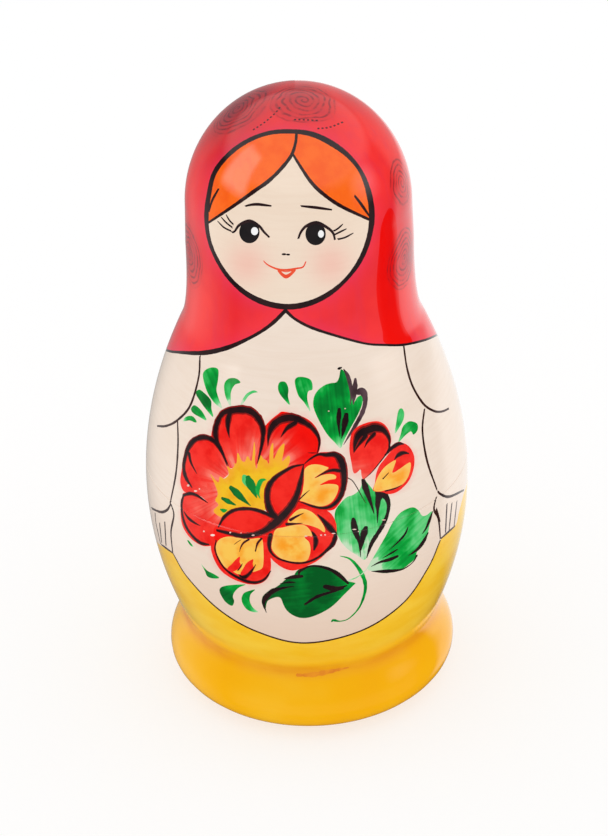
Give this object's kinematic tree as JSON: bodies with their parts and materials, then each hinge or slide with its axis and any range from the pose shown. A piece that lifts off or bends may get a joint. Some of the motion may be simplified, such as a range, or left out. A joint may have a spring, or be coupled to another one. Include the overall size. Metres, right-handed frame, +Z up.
{
  "type": "matryoshka nesting doll",
  "caption": "Turned wooden nesting doll with painted headscarf, apron and flowers; it parts at a lipped seam and holds smaller dolls of the same shape.",
  "frame": {"origin": "centre of the outermost doll's flat foot", "axes": "+Z up along the common turning axis; the faces look along -Y"},
  "size_m": [0.0814, 0.0814, 0.16],
  "materials": {
    "yellow_lacquer": "painted, clear gloss lacquer",
    "red_lacquer": "painted, clear gloss lacquer"
  },
  "bodies": {
    "doll_1_bottom_half": {"doll_1_bottom_half": "yellow_lacquer"},
    "doll_2_bottom_half": {"doll_2_bottom_half": "yellow_lacquer"},
    "doll_3_bottom_half": {"doll_3_bottom_half": "yellow_lacquer"},
    "doll_4_bottom_half": {"doll_4_bottom_half": "yellow_lacquer"},
    "doll_5_bottom_half": {"doll_5_bottom_half": "yellow_lacquer"},
    "doll_6_bottom_half": {"doll_6_bottom_half": "yellow_lacquer"},
    "doll_7_solid": {"doll_7_solid": "red_lacquer"},
    "doll_6_top_half": {"doll_6_top_half": "red_lacquer"},
    "doll_5_top_half": {"doll_5_top_half": "red_lacquer"},
    "doll_4_top_half": {"doll_4_top_half": "red_lacquer"},
    "doll_3_top_half": {"doll_3_top_half": "red_lacquer"},
    "doll_2_top_half": {"doll_2_top_half": "red_lacquer"},
    "doll_1_top_half": {"doll_1_top_half": "red_lacquer"}
  },
  "joints": [
    {"name": "lift_doll_2_bottom_half", "type": "slide", "parent": "doll_1_bottom_half", "child": "doll_2_bottom_half", "axis": [0, 0, 1], "range_m": [0, 0.0546]},
    {"name": "lift_doll_3_bottom_half", "type": "slide", "parent": "doll_2_bottom_half", "child": "doll_3_bottom_half", "axis": [0, 0, 1], "range_m": [0, 0.0427]},
    {"name": "lift_doll_4_bottom_half", "type": "slide", "parent": "doll_3_bottom_half", "child": "doll_4_bottom_half", "axis": [0, 0, 1], "range_m": [0, 0.0338]},
    {"name": "lift_doll_5_bottom_half", "type": "slide", "parent": "doll_4_bottom_half", "child": "doll_5_bottom_half", "axis": [0, 0, 1], "range_m": [0, 0.0272]},
    {"name": "lift_doll_6_bottom_half", "type": "slide", "parent": "doll_5_bottom_half", "child": "doll_6_bottom_half", "axis": [0, 0, 1], "range_m": [0, 0.0223]},
    {"name": "lift_doll_7_solid", "type": "slide", "parent": "doll_6_bottom_half", "child": "doll_7_solid", "axis": [0, 0, 1], "range_m": [0, 0.0186]},
    {"name": "lift_doll_6_top_half", "type": "slide", "parent": "doll_7_solid", "child": "doll_6_top_half", "axis": [0, 0, 1], "range_m": [0, 0.0259]},
    {"name": "lift_doll_5_top_half", "type": "slide", "parent": "doll_6_top_half", "child": "doll_5_top_half", "axis": [0, 0, 1], "range_m": [0, 0.032]},
    {"name": "lift_doll_4_top_half", "type": "slide", "parent": "doll_5_top_half", "child": "doll_4_top_half", "axis": [0, 0, 1], "range_m": [0, 0.0403]},
    {"name": "lift_doll_3_top_half", "type": "slide", "parent": "doll_4_top_half", "child": "doll_3_top_half", "axis": [0, 0, 1], "range_m": [0, 0.0514]},
    {"name": "lift_doll_2_top_half", "type": "slide", "parent": "doll_3_top_half", "child": "doll_2_top_half", "axis": [0, 0, 1], "range_m": [0, 0.0663]},
    {"name": "lift_doll_1_top_half", "type": "slide", "parent": "doll_2_top_half", "child": "doll_1_top_half", "axis": [0, 0, 1], "range_m": [0, 0.0864]}
  ]
}
